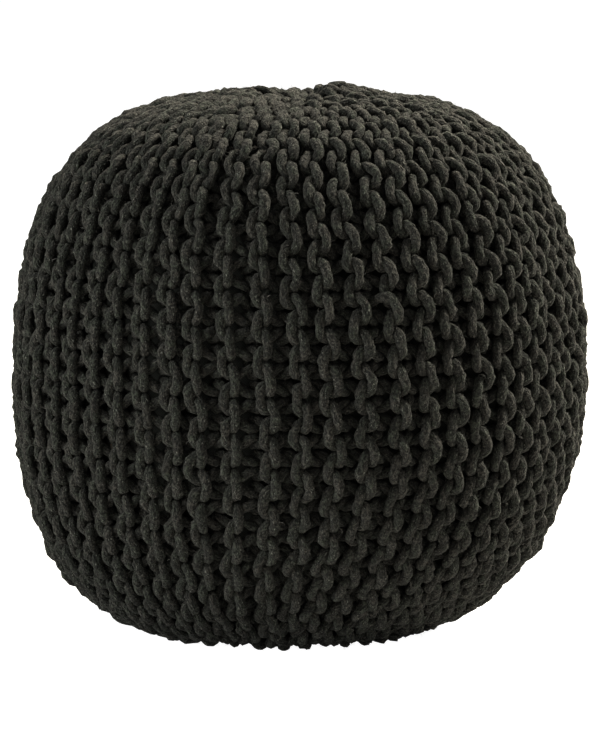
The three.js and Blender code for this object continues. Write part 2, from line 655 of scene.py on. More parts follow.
@dataclass(frozen=True)
class Settling:
    """Pushes touching ropes apart, keeps their length and eases their bends.

    Attributes:
        thickness: distance between the middles of ropes that press together.
        floor: lowest height for the middle of a rope.
        rounds: number of rounds.
        refresh: rounds after which touching ropes are looked for again.
        reach: distance within which pairs of points are watched.
        skip: neighbours on the same rope that are left out.
        push: share of an overlap that is taken out in a round.
        crowd: share of the ropes touching a point by which its push is divided.
        longest: longest move of a point by pushing in a round.
        pull: share of a wrong length that either end of a link takes out in a round.
        ease: share of a bend that is taken out in a round.
        hold: share of the way back to its first place that a point goes in a round.
        start: share of the thickness that is used in the first round.
        grow_over: share of the rounds over which it grows to the whole.
    """

    thickness: float
    floor: float
    rounds: int = 26
    refresh: int = 12
    reach: float = 0.0110
    skip: int = 5
    push: float = 0.6
    crowd: float = 0.55
    longest: float = 0.0006
    pull: float = 0.45
    ease: float = 0.05
    hold: float = 0.03
    start: float = 0.75
    grow_over: float = 0.6

    def pairs(self, x: Array, strand: Array) -> tuple[Array, Array]:
        """Finds points that lie close together without being neighbours on one rope.

        Args:
            x: the points.
            strand: each point's rope.

        Returns:
            The indices of both points of each pair.
        """
        cell = np.floor(x / self.reach).astype(np.int64)
        cell -= cell.min(0) - 1
        size = cell.max(0) + 2
        key = (cell[:, 0] * size[1] + cell[:, 1]) * size[2] + cell[:, 2]
        order = np.argsort(key, kind="stable")
        ranked = key[order]
        first, second = [], []
        for a, b, c in ((a, b, c) for a in (-1, 0, 1) for b in (-1, 0, 1) for c in (-1, 0, 1)):
            step = (a * size[1] + b) * size[2] + c
            if step < 0:
                continue
            low = np.searchsorted(ranked, key + step, "left")
            found = np.searchsorted(ranked, key + step, "right") - low
            i = np.repeat(np.arange(len(x)), found)
            within = np.arange(found.sum()) - np.repeat(np.cumsum(found) - found, found)
            j = order[within + np.repeat(low, found)]
            keep = ((x[i] - x[j]) ** 2).sum(1) < self.reach ** 2
            keep &= (strand[i] != strand[j]) | (np.abs(i - j) > self.skip)
            if step == 0:
                keep &= i < j
            first.append(i[keep])
            second.append(j[keep])
        return np.concatenate(first), np.concatenate(second)

    def push_apart(self, x: Array, first: Array, second: Array, thickness: float) -> Array:
        """Pushes touching points apart.

        Args:
            x: the points.
            first: index of each pair's first point.
            second: index of its second.
            thickness: distance at which they no longer touch.

        Returns:
            The moved points.
        """
        away = x[first] - x[second]
        apart = np.sqrt((away ** 2).sum(1)) + TINY
        hit = apart < thickness
        move = away[hit] * (0.5 * self.push * (thickness - apart[hit]) / apart[hit])[:, None]
        both = np.concatenate([first[hit], second[hit]])
        move = np.concatenate([move, -move])
        total = np.stack([np.bincount(both, move[:, k], len(x)) for k in range(3)], 1)
        total /= np.maximum(1, self.crowd * np.bincount(both, minlength=len(x)))[:, None]
        size = np.linalg.norm(total, axis=1)[:, None]
        return x + total * np.minimum(1, self.longest / np.maximum(size, TINY))

    def run(self, x: Array, strand: Array) -> Array:
        """Settles all ropes together.

        Args:
            x: the points of all ropes, one rope after another.
            strand: each point's rope.

        Returns:
            The settled points.
        """
        home = x.copy()
        link = np.nonzero(strand[1:] == strand[:-1])[0]
        rest = np.linalg.norm(x[link + 1] - x[link], axis=1)
        middle = np.nonzero((strand[2:] == strand[1:-1]) & (strand[1:-1] == strand[:-2]))[0] + 1
        for step in range(self.rounds):
            if step % self.refresh == 0:
                first, second = self.pairs(x, strand)
            grown = self.start + (1 - self.start) * step / (self.grow_over * self.rounds)
            x = self.push_apart(x, first, second, self.thickness * min(1.0, grown))
            for odd in (0, 1):
                chosen = link % 2 == odd
                begin = link[chosen]
                span = x[begin + 1] - x[begin]
                length = np.linalg.norm(span, axis=1)
                pull = span * (self.pull * (length - rest[chosen]) / length)[:, None]
                x[begin] += pull
                x[begin + 1] -= pull
            x[middle] += self.ease * (0.5 * (x[middle - 1] + x[middle + 1]) - x[middle])
            x += self.hold * (home - x)
            x[:, 2] = np.maximum(x[:, 2], self.floor)
        return x


@dataclass(frozen=True)
class Handiwork:
    """The unevenness of the knitter's stitches.

    Attributes:
        size: size of a stitch's moves.
        along: share of it along the ridge.
        aside: share of it to the side.
        depth: share of it in and out.
        widening: share by which a lobe grows wider for each metre of a move.
    """

    size: float = 0.0012
    along: float = 0.9
    aside: float = 1.1
    depth: float = 0.8
    widening: float = 45


@dataclass(frozen=True)
class RopeSurface:
    """The rope's surface.

    Attributes:
        fine_step: distance between its rings where it shows.
        coarse_step: the same where it lies deep.
        shown_depth: depth under the tops at which it no longer shows.
        refine: how soon the rings draw together on the way up.
        sides: faces around the rope.
        deep_size: thickness where it lies deep, as a share.
        top_gain: what it gains on the way to the top.
        swell: unevenness of its thickness.
        swell_length: distance along it from one thick or thin place to the next.
        end_taper: thickness of its last rings.
        ruffle: height of the small lumps of its yarn.
        ruffle_limit: how many times that a lump may reach.
        ruffle_blend: share of a lump that comes from the one beside it.
        pattern_gap: length by which the pattern moves on from one rope to the next.
        shade_waves: size of the change of tone along it, and its pace in radians a metre.
        shade_ropes: size of the change of tone from rope to rope, and its pace in radians.
        shadow: how much darker its inner side is painted, as painted shade on the side facing into the pouf.
        strips: strips into which it is unrolled.
        margins: share of a strip's width and of its length left free at each edge.
    """

    fine_step: float = 0.0028
    coarse_step: float = 0.0052
    shown_depth: float = 0.0130
    refine: float = 2.2
    sides: int = 8
    deep_size: float = 0.965
    top_gain: float = 0.055
    swell: float = 0.07
    swell_length: float = 0.0060
    end_taper: tuple[float, ...] = (0.03, 0.55, 0.88)
    ruffle: float = 0.00050
    ruffle_limit: float = 2
    ruffle_blend: float = 0.25
    pattern_gap: float = 3.7
    shade_waves: tuple[float, float] = (0.08, 31)
    shade_ropes: tuple[float, float] = (0.07, 5.1)
    shadow: float = 0.52
    strips: int = 2
    margins: tuple[float, float] = (0.06, 0.01)


@dataclass
class KnittedCover:
    """The cover: ridges of rope stitches from the mouth in the crown to the one in the base.

    Attributes:
        form: the filled form.
        gauge: the rope and the tightness.
        plan: the ridges.
        hand: the unevenness of the stitches.
        surface: the rope's surface.
        ridges_per_panel: ridges whose rope is joined in one piece.
        seed: seed of the unevenness.
        width_limits: narrowest and widest ridge that a stitch is made for.
        crown_relief: share by which the lobes stand up more where the gathering crowds them.
        crown_reach: distance from the axis at which that begins.
        floor_gap: height of the lowest rope's middle over the floor, as a share of its thickness.
        strands: the rope, once it is knitted.
    """

    form: PoufForm
    gauge: Gauge = field(default_factory=Gauge)
    plan: RidgePlan = field(default_factory=RidgePlan)
    hand: Handiwork = field(default_factory=Handiwork)
    surface: RopeSurface = field(default_factory=RopeSurface)
    ridges_per_panel: int = 8
    seed: int = 11
    width_limits: tuple[float, float] = (0.0112, 0.030)
    crown_relief: float = 0.35
    crown_reach: float = 0.12
    floor_gap: float = 0.54
    strands: list[Strand] = field(default_factory=list)

    def knit(self) -> None:
        """Knits the rope: lays every row along its ridge and settles all of them together."""
        rng = np.random.default_rng(self.seed)
        layout = self.plan.lay_out(self.form.meridian(), self.gauge, rng)
        book = StitchBook(self.gauge, layout.stitch)
        book.fill()
        for ridge in range(self.plan.count):
            for row in Row:
                self.strands.append(self.lay_row(layout, book, ridge, row, rng))
        x = np.concatenate([s.points for s in self.strands])
        owner = np.repeat(np.arange(len(self.strands)), [len(s.points) for s in self.strands])
        x = Settling(self.gauge.contact, self.floor_gap * self.gauge.rope).run(x, owner)
        x[:, :2] -= (x.min(0) + x.max(0))[:2] / 2
        at = 0
        for strand in self.strands:
            strand.points = x[at:at + len(strand.points)]
            at += len(strand.points)

    def lay_row(self, layout: RidgeLayout, book: StitchBook, ridge: int, row: Row,
                rng: np.random.Generator) -> Strand:
        """Lays one row of rope before it settles.

        Args:
            layout: where the ridges lie.
            book: the settled stitches.
            ridge: number of the ridge.
            row: which of its rows.
            rng: the source of unevenness.

        Returns:
            The row as a strand.
        """
        n, hand, line = self.gauge.points, self.hand, layout.line
        first, last = int(layout.first[ridge]), int(layout.last[ridge])
        early = 0 if row is Row.HEADS else n // 2
        count = np.arange(first * n - early, (last + 1) * n + early + 1)
        stitch, number = count // n, count % n
        centre = layout.top + layout.stitch * (stitch + 0.5)
        width = layout.width(ridge, centre + layout.stitch * (number / n - 0.5)).clip(*self.width_limits)
        down, right, out = book.read(row, number, width).T
        # The unevenness has a knot at each half stitch, and a few more past both ends.
        knots = np.arange(2 * first - 3, 2 * last + 6)
        shake = rng.normal(0, hand.size, (len(knots), 4))
        sway = [np.interp(2 * count / n, knots, shake[:, k]) for k in range(4)]
        run = centre + down + hand.along * sway[0]
        right = right * (1 + hand.widening * sway[3]) + hand.aside * sway[1]
        right += layout.swing[ridge] * np.sin(FULL_TURN * down / layout.stitch)
        drawn_in = 1 + self.crown_relief * np.clip(1 - line.at(run, line.radius) / self.crown_reach, 0, 1)
        depth = -out * layout.relief[ridge] * drawn_in + hand.depth * sway[2]
        azimuth = layout.azimuth(ridge, run, right)
        points = self.form.place(line, run, azimuth, depth)
        outward = unit(self.form.place(line, run, azimuth, depth - PROBE) - points)
        return Strand(ridge, row, points, depth, outward)

    def rings(self, strand: Strand) -> Rings:
        """Spaces rings along a strand, close where it shows and wide where it lies deep.

        Args:
            strand: the strand.

        Returns:
            The rings.
        """
        x, look = strand.points, self.surface
        span = np.linalg.norm(np.diff(x, axis=0), axis=1)
        run = np.concatenate([[0], np.cumsum(span)])
        top = 1 - np.clip((strand.depth - self.gauge.rope / 2) / look.shown_depth, 0, 1)
        step = look.coarse_step + (look.fine_step - look.coarse_step) * np.clip(look.refine * top, 0, 1)
        dense = np.concatenate([[0], np.cumsum(span * (1 / step[1:] + 1 / step[:-1]) / 2)])
        where = np.interp(np.linspace(0, dense[-1], math.ceil(dense[-1]) + 1), dense, np.arange(len(x)))
        low = np.clip(where.astype(int), 0, len(x) - 2)
        part = (where - low)[:, None]
        along = np.interp(where, np.arange(len(x)), run)
        high = np.interp(where, np.arange(len(x)), top)
        knots = np.arange(0, along[-1] + 2 * look.swell_length, look.swell_length)
        rng = np.random.default_rng((self.seed, strand.ridge, strand.row is Row.HEADS))
        factor = 1 + np.interp(along, knots, rng.normal(0, look.swell, len(knots)))
        factor *= look.deep_size + look.top_gain * high
        ends = len(look.end_taper)
        factor[:ends] *= look.end_taper
        factor[-ends:] *= look.end_taper[::-1]
        outward = strand.outward[low] + part * (strand.outward[low + 1] - strand.outward[low])
        number = 2 * strand.ridge + (strand.row is Row.SINKERS)
        return Rings(number, curve_through(x, low, part), factor, along, high, outward)

    def make_panels(self, material: bpy.types.Material) -> None:
        """Makes the rope's meshes, one for each panel of ridges.

        Args:
            material: the rope's material.
        """
        for start in range(0, self.plan.count, self.ridges_per_panel):
            ropes = [self.rings(s) for s in self.strands if start <= s.ridge < start + self.ridges_per_panel]
            name = f"knitted_panel_{start // self.ridges_per_panel + 1}"
            lines = [(r.centres, r.factor) for r in ropes]
            mesh = tube_mesh(name, lines, self.gauge.rope, self.surface.sides)
            self.mark(mesh, ropes)
            self.unroll(mesh, [len(r.along) for r in ropes])
            self.roughen(mesh, start)
            close_ends(mesh)
            hand_over(mesh, material)

    def mark(self, mesh: bpy.types.Mesh, ropes: Sequence[Rings]) -> None:
        """Writes where each point lies on its rope, its random tone, and its painted shade on the rope's
        inner side.

        Args:
            mesh: the panel's mesh.
            ropes: the rings of its ropes.
        """
        look = self.surface
        angle = FULL_TURN * np.arange(look.sides) / look.sides
        across, up = self.gauge.rope / 2 * np.cos(angle), self.gauge.rope / 2 * np.sin(angle)
        normal = triples(mesh.vertex_normals, "vector")
        lay, high, tone = [], [], []
        at = 0
        for rope in ropes:
            x, z = np.meshgrid(across, rope.along + look.pattern_gap * rope.number)
            y = np.broadcast_to(up, x.shape)
            lay.append(np.stack([x, y, z], 2).reshape(-1, 3))
            high.append(np.repeat(rope.top, look.sides))
            shade = 1 + look.shade_waves[0] * np.sin(rope.along * look.shade_waves[1] + rope.number)
            shade += look.shade_ropes[0] * math.sin(look.shade_ropes[1] * rope.number)
            end = at + len(rope.along) * look.sides
            facing = (normal[at:end].reshape(-1, look.sides, 3) * rope.outward[:, None]).sum(2)
            at = end
            # Painted shade: each rope's colour darkens on its side that faces into the pouf, on top of its
            # random tone.
            tone.append((shade[:, None] * (1 - look.shadow * (0.5 - 0.5 * facing))).ravel())
        for name, values in ((LAY, lay), (TOP, high), (TONE_AND_SHADE, tone)):
            write_mark(mesh, name, np.concatenate(values))

    def unroll(self, mesh: bpy.types.Mesh, counts: Sequence[int]) -> None:
        """Unrolls the ropes into strips side by side.

        Args:
            mesh: the panel's mesh, all faces with four corners.
            counts: number of rings of each rope.
        """
        look = self.surface
        corner = np.empty(len(mesh.loops), int)
        mesh.loops.foreach_get("vertex_index", corner)
        corner = corner.reshape(-1, 4)
        side, ring = corner % look.sides, corner // look.sides
        wrapped = (side.max(1) - side.min(1) > 1)[:, None] & (side == 0)
        side = np.where(wrapped, look.sides, side)
        firsts = np.cumsum([0, *counts])
        rope = np.searchsorted(firsts, ring[:, 0], "right") - 1
        local = ring - firsts[rope][:, None]
        per_strip = math.ceil(max(counts) / look.strips)
        strip = local.min(1) // per_strip
        column = (rope * look.strips + strip)[:, None]
        across, down = look.margins
        u = (column + across + (1 - 2 * across) * side / look.sides) / (len(counts) * look.strips)
        v = down + (1 - 2 * down) * (local - strip[:, None] * per_strip) / per_strip
        unrolled = mesh.uv_layers.new(name=UV_MAP)
        unrolled.data.foreach_set("uv", np.stack([u, v], 2).ravel())
        for layer in [layer for layer in mesh.uv_layers if layer.name != UV_MAP]:
            mesh.uv_layers.remove(layer)

    def roughen(self, mesh: bpy.types.Mesh, start: int) -> None:
        """Raises small lumps on the rope's surface, and presses it flat on the floor.

        Args:
            mesh: the panel's mesh.
            start: number of the panel's first ridge, which seeds the lumps.
        """
        look = self.surface
        rng = np.random.default_rng(self.seed + start)
        lump = rng.normal(0, look.ruffle, len(mesh.vertices)).reshape(-1, look.sides)
        lump = (1 - look.ruffle_blend) * lump + look.ruffle_blend * np.roll(lump, 1, 1)
        lump = lump.clip(-look.ruffle_limit * look.ruffle, look.ruffle_limit * look.ruffle)
        place = triples(mesh.vertices, "co") + triples(mesh.vertex_normals, "vector") * lump.reshape(-1, 1)
        place[:, 2] = np.maximum(place[:, 2], 0)
        mesh.vertices.foreach_set("co", place.ravel())


# Finishes

class Value:
    """A number socket that can stand in a sum."""

    def __init__(self, bench: "Bench", socket: bpy.types.NodeSocket) -> None:
        """Keeps the bench that the socket lies on."""
        self.bench = bench
        self.socket = socket

    def join(self, operation: str, *others: Any, swap: bool = False) -> "Value":
        """Adds one Math node.

        Args:
            operation: the node's operation.
            others: the values after this one.
            swap: whether this value comes second.

        Returns:
            The node's value.
        """
        values = [*others, self] if swap else [self, *others]
        made = self.bench.node("ShaderNodeMath", {"operation": operation}, dict(enumerate(values)))
        return Value(self.bench, made.outputs[0])

    def __add__(self, other: Any) -> "Value":
        """Adds."""
        return self.join("ADD", other)

    __radd__ = __add__

    def __sub__(self, other: Any) -> "Value":
        """Takes away."""
        return self.join("SUBTRACT", other)

    def __rsub__(self, other: Any) -> "Value":
        """Takes this from a number."""
        return self.join("SUBTRACT", other, swap=True)

    def __mul__(self, other: Any) -> "Value":
        """Multiplies."""
        return self.join("MULTIPLY", other)

    __rmul__ = __mul__

    def __pow__(self, other: Any) -> "Value":
        """Raises to a power."""
        return self.join("POWER", other)

    def sine(self) -> "Value":
        """Gives the sine."""
        return self.join("SINE")

    def highest(self, other: Any) -> "Value":
        """Gives the larger of two."""
        return self.join("MAXIMUM", other)

    def raised(self, start: float, gain: float) -> "Value":
        """Gives start where this is 0, and start and gain together where it is 1."""
        return self * gain + start

    def between(self, low: float, high: float) -> "Value":
        """Gives 0 at low and 1 at high, eased in between."""
        made = self.bench.node("ShaderNodeMapRange", {"interpolation_type": "SMOOTHSTEP"},
                               {"Value": self, "From Min": low, "From Max": high})
        return Value(self.bench, made.outputs[0])


class Bench:
    """The node bench of a material or of the surroundings."""

    def __init__(self, owner: bpy.types.ID, shader: str, output: str) -> None:
        """Clears the bench and lays out its shader.

        Args:
            owner: the material or world.
            shader: type of its shader.
            output: type of its output.
        """
        owner.use_nodes = True
        self.tree = owner.node_tree
        self.tree.nodes.clear()
        self.shader = self.node(shader, {}, {})
        self.node(output, {}, {"Surface": self.shader.outputs[0]})

    def plug(self, made: bpy.types.Node, sockets: Mapping[Any, Any]) -> None:
        """Sets or links a node's inputs.

        Args:
            made: the node.
            sockets: values or links, by name or number.
        """
        for name, value in sockets.items():
            value = value.socket if isinstance(value, Value) else value
            if isinstance(value, bpy.types.NodeSocket):
                self.tree.links.new(value, made.inputs[name])
            else:
                made.inputs[name].default_value = value

    def node(self, kind: str, settings: Mapping[str, Any], sockets: Mapping[Any, Any]) -> bpy.types.Node:
        """Adds a node.

        Args:
            kind: the node's type.
            settings: its settings, set first.
            sockets: values or links for its inputs, by name or number.

        Returns:
            The node.
        """
        made = self.tree.nodes.new(kind)
        for name, value in settings.items():
            setattr(made, name, value)
        self.plug(made, sockets)
        return made

    def dress(self, sockets: Mapping[str, Any]) -> None:
        """Sets values or links of the shader."""
        self.plug(self.shader, sockets)

    def camera_ray(self) -> bpy.types.NodeSocket:
        """Tells the camera's own rays from the light's."""
        return self.node("ShaderNodeLightPath", {}, {}).outputs["Is Camera Ray"]

    def attribute(self, name: str, output: str = "Fac") -> bpy.types.NodeSocket:
        """Reads an attribute of the piece."""
        return self.node("ShaderNodeAttribute", {"attribute_name": name}, {}).outputs[output]

    def parts(self, vector: bpy.types.NodeSocket) -> list[Value]:
        """Takes a vector apart."""
        return [Value(self, part) for part in self.node("ShaderNodeSeparateXYZ", {}, {0: vector}).outputs]

    def stretch(self, vector: bpy.types.NodeSocket, by: Sequence[float]) -> bpy.types.NodeSocket:
        """Stretches a vector."""
        return self.node("ShaderNodeVectorMath", {"operation": "MULTIPLY"}, {0: vector, 1: by}).outputs[0]

    def noise(self, vector: bpy.types.NodeSocket, scale: float, detail: float, rough: float = 0.5) -> Value:
        """Gives soft noise of a scale on a vector."""
        made = self.node("ShaderNodeTexNoise", {},
                         {"Vector": vector, "Scale": scale, "Detail": detail, "Roughness": rough})
        return Value(self, made.outputs[0])

    def blend(self, share: Any, first: Any, second: Any) -> bpy.types.NodeSocket:
        """Mixes two colours by a share of the second."""
        return self.node("ShaderNodeMix", {"data_type": "RGBA"}, {0: share, 6: first, 7: second}).outputs[2]

    def bump(self, height: Value, strength: float, distance: float) -> bpy.types.NodeSocket:
        """Raises the surface by a value, as seen in its shading."""
        return self.node("ShaderNodeBump", {},
                         {"Strength": strength, "Distance": distance, "Height": height}).outputs[0]


def start_material(name: str, preview: Sequence[float]) -> tuple[bpy.types.Material, Bench]:
    """Starts a material with its shader.

    Args:
        name: the material's name.
        preview: the plain colour that it has without its nodes.

    Returns:
        The material and its bench.
    """
    material = bpy.data.materials.new(name)
    material.diffuse_color = paint(*preview)
    return material, Bench(material, "ShaderNodeBsdfPrincipled", "ShaderNodeOutputMaterial")


def paint(*levels: float) -> tuple[float, float, float, float]:
    """Makes a colour for a socket."""
    return (*levels, 1.0)


@dataclass(frozen=True)
class Mottle:
    """A pattern of soft noise, eased between two of its levels.

    Attributes:
        scale: its lumps in a metre.
        detail: steps of finer lumps on them.
        levels: the levels of the noise that give 0 and 1.
        rough: strength of the finer lumps.
        along: scale along the rope, as a share of the scale across.
    """

    scale: float
    detail: float
    levels: tuple[float, float]
    rough: float = 0.5
    along: float = 1.0

    def lay(self, bench: Bench, vector: bpy.types.NodeSocket) -> Value:
        """Lays the pattern on a bench.

        Args:
            bench: the bench.
            vector: what it follows.

        Returns:
            The pattern's value.
        """
        if self.along != 1:
            vector = bench.stretch(vector, (1, 1, self.along))
        return bench.noise(vector, self.scale, self.detail, self.rough).between(*self.levels)


@dataclass(frozen=True)
class RopeFinish:
    """Brushed charcoal cotton, heathered, with the small ribs of the braid and a few pale specks, and
    painted shade in the valleys and on the ropes' inner sides.

    Attributes:
        dark: colour of the black fibres.
        light: colour of the greenish grey fibres.
        warm: colour of the brownish grey fibres.
        speck: colour of the pale fibres that lie on top.
        fleck: colour of the rare brown fibres.
        rib: length of one turn of the braid's yarns.
        ribs: yarns around the rope each way.
        rib_levels: levels of the yarns' waves that give their valleys and tops.
        fibres: the curled fibres.
        grain: the finest fibres.
        patches: lighter and darker stretches.
        clumps: matted lumps of fibres.
        hues: where the fibres are greenish or brownish.
        specks: where pale fibres lie on top.
        flecks: where brown fibres are.
        curls: shares of fibres, grain and braid in the lightness.
        contrast: what the lightness is multiplied by and then raised to.
        patched: lightness of the darkest patches, and what the lightest add.
        clumped: the same for the clumps.
        valley_shade_levels: shares of the way to the top between which the painted valley shade lifts.
        valley_shade: lightness of the painted shade in the valleys, and what the tops add.
        speck_share: how fully a speck covers.
        fleck_share: how fully a fleck does.
        relief: shares of clumps, braid, fibres and grain in the height.
        bump: strength and height of the relief.
        roughness: of the fibres.
        specular: strength of their shine.
        sheen: weight and roughness of the soft light at the edges.
        sheen_tint: colour of that light.
    """

    dark: tuple[float, float, float] = (0.0054, 0.0056, 0.0050)
    light: tuple[float, float, float] = (0.0440, 0.0500, 0.0375)
    warm: tuple[float, float, float] = (0.0550, 0.0510, 0.0430)
    speck: tuple[float, float, float] = (0.190, 0.192, 0.165)
    fleck: tuple[float, float, float] = (0.110, 0.052, 0.024)
    rib: float = 0.0105
    ribs: int = 5
    rib_levels: tuple[float, float] = (-0.3, 1.0)
    fibres: Mottle = Mottle(820, 1, (0.40, 0.64), 0.6, 0.75)
    grain: Mottle = Mottle(1500, 1, (0.38, 0.66), 0.6)
    patches: Mottle = Mottle(170, 3, (0.25, 0.75), 0.6)
    clumps: Mottle = Mottle(380, 1, (0.35, 0.65), 0.6)
    hues: Mottle = Mottle(130, 2, (0.40, 0.60))
    specks: Mottle = Mottle(900, 2, (0.59, 0.67), 0.7, 0.6)
    flecks: Mottle = Mottle(60, 1, (0.78, 0.80))
    curls: tuple[float, float, float] = (0.60, 0.32, 0.08)
    contrast: tuple[float, float] = (1.2, 2.0)
    patched: tuple[float, float] = (0.65, 0.5)
    clumped: tuple[float, float] = (0.82, 0.4)
    valley_shade_levels: tuple[float, float] = (0.35, 1.0)
    valley_shade: tuple[float, float] = (0.61, 0.38)
    speck_share: float = 0.9
    fleck_share: float = 0.7
    relief: tuple[float, float, float, float] = (0.85, 0.12, 0.50, 0.35)
    bump: tuple[float, float] = (0.9, 0.0014)
    roughness: float = 0.92
    specular: float = 0.10
    sheen: tuple[float, float] = (0.10, 0.6)
    sheen_tint: tuple[float, float, float] = (0.55, 0.53, 0.48)

    def make(self) -> bpy.types.Material:
        """Builds the material.

        Returns:
            The material.
        """
        material, bench = start_material("charcoal_cotton_rope", self.light)
        lay = bench.attribute(LAY, "Vector")
        top, tone = Value(bench, bench.attribute(TOP)), Value(bench, bench.attribute(TONE_AND_SHADE))
        x, y, z = bench.parts(lay)
        around, along = y.join("ARCTAN2", x), z * (FULL_TURN / self.rib)
        right, left = (around * self.ribs + along).sine(), (around * self.ribs - along).sine()
        braid = right.highest(left).between(*self.rib_levels)
        fibre, grain, patch, clump, hue, speck, fleck = (mottle.lay(bench, lay) for mottle in (
            self.fibres, self.grain, self.patches, self.clumps, self.hues, self.specks, self.flecks))
        curls = fibre * self.curls[0] + grain * self.curls[1] + braid * self.curls[2]
        # Painted shade: the rope's colour darkens below the tops of the ridges, towards the valleys between
        # them.
        valley_shade = top.between(*self.valley_shade_levels).raised(*self.valley_shade)
        gain, power = self.contrast
        amount = (curls * gain) ** power * patch.raised(*self.patched) * valley_shade
        # The tone mark brings in the painted shade on the ropes' inner sides.
        amount = amount * clump.raised(*self.clumped) * tone
        fibres = bench.blend(hue, paint(*self.light), paint(*self.warm))
        body = bench.blend(amount, paint(*self.dark), fibres)
        # The pale specks thin out towards the valleys, with the square of the way to the top: painted shade.
        body = bench.blend(speck * top * top * grain * self.speck_share, body, paint(*self.speck))
        body = bench.blend(fleck * fibre * self.fleck_share, body, paint(*self.fleck))
        rise = self.relief
        height = clump * rise[0] + braid * rise[1] + fibre * rise[2] + grain * rise[3]
        bench.dress({"Base Color": body, "Normal": bench.bump(height, *self.bump),
                     "Roughness": self.roughness, "Specular IOR Level": self.specular,
                     "Sheen Weight": self.sheen[0], "Sheen Roughness": self.sheen[1],
                     "Sheen Tint": paint(*self.sheen_tint)})
        return material


@dataclass(frozen=True)
class BodyFinish:
    """Near-black plain-woven cotton.

    Attributes:
        colour: of the threads where they lie deep; twice as light where they are raised.
        thread: width of a thread.
        weave_levels: levels of the threads' waves that give their valleys and tops.
        cloud: scale and detail of its uneven tone.
        shares: shares of weave and cloud in the tone.
        bump: strength and height of the weave.
        roughness: of the threads.
        specular: strength of their shine.
    """

    colour: tuple[float, float, float] = (0.0120, 0.0123, 0.0108)
    thread: float = 0.0009
    weave_levels: tuple[float, float] = (-0.6, 0.6)
    cloud: tuple[float, float] = (60, 3)
    shares: tuple[float, float] = (0.6, 0.3)
    bump: tuple[float, float] = (0.5, 0.0003)
    roughness: float = 0.95
    specular: float = 0.03

    def make(self) -> bpy.types.Material:
        """Builds the material.

        Returns:
            The material.
        """
        material, bench = start_material("black_plain_cotton", self.colour)
        place = bench.node("ShaderNodeTexCoord", {}, {}).outputs["Object"]
        parts = bench.parts(place)
        across, up = (parts[k] * (math.pi / self.thread) for k in (0, 2))
        weave = (across.sine() * up.sine()).between(*self.weave_levels)
        tone = weave * self.shares[0] + bench.noise(place, *self.cloud) * self.shares[1]
        colour = bench.blend(tone, paint(*self.colour), paint(*(2 * c for c in self.colour)))
        bench.dress({"Base Color": colour, "Normal": bench.bump(weave, *self.bump),
                     "Roughness": self.roughness, "Specular IOR Level": self.specular})
        return material


@dataclass(frozen=True)
class FuzzFinish:
    """Loose cotton fibres, mostly dark with some pale ones.

    Attributes:
        dark: colour of most of them.
        pale: colour of the palest.
        levels: tones between which they grow pale.
        roughness: of the fibres.
    """

    dark: tuple[float, float, float] = (0.030, 0.029, 0.026)
    pale: tuple[float, float, float] = (0.240, 0.225, 0.200)
    levels: tuple[float, float] = (0.45, 1.0)
    roughness: float = 0.9

    def make(self) -> bpy.types.Material:
        """Builds the material.

        Returns:
            The material.
        """
        material, bench = start_material("loose_cotton_fibre", self.dark)
        tone = Value(bench, bench.attribute(TONE_AND_SHADE)).between(*self.levels)
        colour = bench.blend(tone, paint(*self.dark), paint(*self.pale))
        bench.dress({"Base Color": colour, "Roughness": self.roughness})
        return material


# Pieces

def curve_through(x: Array, low: Array, part: Array) -> Array:
    """Reads a line of points in between, on a smooth curve through them.

    Args:
        x: the points.
        low: index of the point before each place.
        part: share of the way from there to the next point, in a column.

    Returns:
        The places.
    """
    before, after = x[np.maximum(low - 1, 0)], x[np.minimum(low + 2, len(x) - 1)]
    first, second = x[low], x[low + 1]
    bend = 2 * before - 5 * first + 4 * second - after
    twist = 3 * (first - second) + after - before
    return first + 0.5 * part * (second - before + part * (bend + part * twist))


def triples(elements: Any, key: str) -> Array:
    """Reads three numbers of each element.

    Args:
        elements: points or normals of a mesh.
        key: name of the numbers.

    Returns:
        The numbers, one row for each element.
    """
    values = np.empty((len(elements), 3))
    elements.foreach_get(key, values.ravel())
    return values


def write_mark(mesh: bpy.types.Mesh, name: str, values: Array) -> None:
    """Writes a number or a place for each point of a mesh."""
    kind, key = ("FLOAT_VECTOR", "vector") if values.ndim == 2 else ("FLOAT", "value")
    mesh.attributes.new(name, kind, "POINT").data.foreach_set(key, values.ravel())


def tube_mesh(name: str, ropes: Sequence[tuple[Array, Array]], thickness: float,
              sides: int) -> bpy.types.Mesh:
    """Sweeps a round section along several lines.

    Args:
        name: name of the mesh.
        ropes: points and thickness factors of each line.
        thickness: diameter of the section.
        sides: sides of the section, an even number of four or more.

    Returns:
        The mesh, with open ends and its rings in order.
    """
    curve = bpy.data.curves.new(name, "CURVE")
    curve.dimensions = "3D"
    curve.bevel_depth = thickness / 2
    curve.bevel_resolution = sides // 2 - 2
    for points, factors in ropes:
        line = curve.splines.new("POLY")
        line.points.add(len(points) - 1)
        line.points.foreach_set("co", np.column_stack([points, np.ones(len(points))]).ravel())
        line.points.foreach_set("radius", factors)
        line.use_smooth = True
    holder = bpy.data.objects.new(name, curve)
    bpy.context.collection.objects.link(holder)
    bpy.context.view_layer.update()
    mesh = bpy.data.meshes.new_from_object(holder.evaluated_get(bpy.context.evaluated_depsgraph_get()))
    bpy.data.objects.remove(holder)
    bpy.data.curves.remove(curve)
    mesh.name = name
    return mesh


def close_ends(mesh: bpy.types.Mesh) -> None:
    """Closes the open ends of tubes.

    Args:
        mesh: the tubes' mesh.
    """
    work = bmesh.new()
    work.from_mesh(mesh)
    bmesh.ops.holes_fill(work, edges=[e for e in work.edges if e.is_boundary], sides=0)
    work.to_mesh(mesh)
    work.free()


def new_mesh(work: bmesh.types.BMesh, name: str) -> bpy.types.Mesh:
    """Turns finished work into a mesh.

    Args:
        work: the work, which is then done with.
        name: name of the mesh.

    Returns:
        The mesh.
    """
    mesh = bpy.data.meshes.new(name)
    work.to_mesh(mesh)
    work.free()
    return mesh


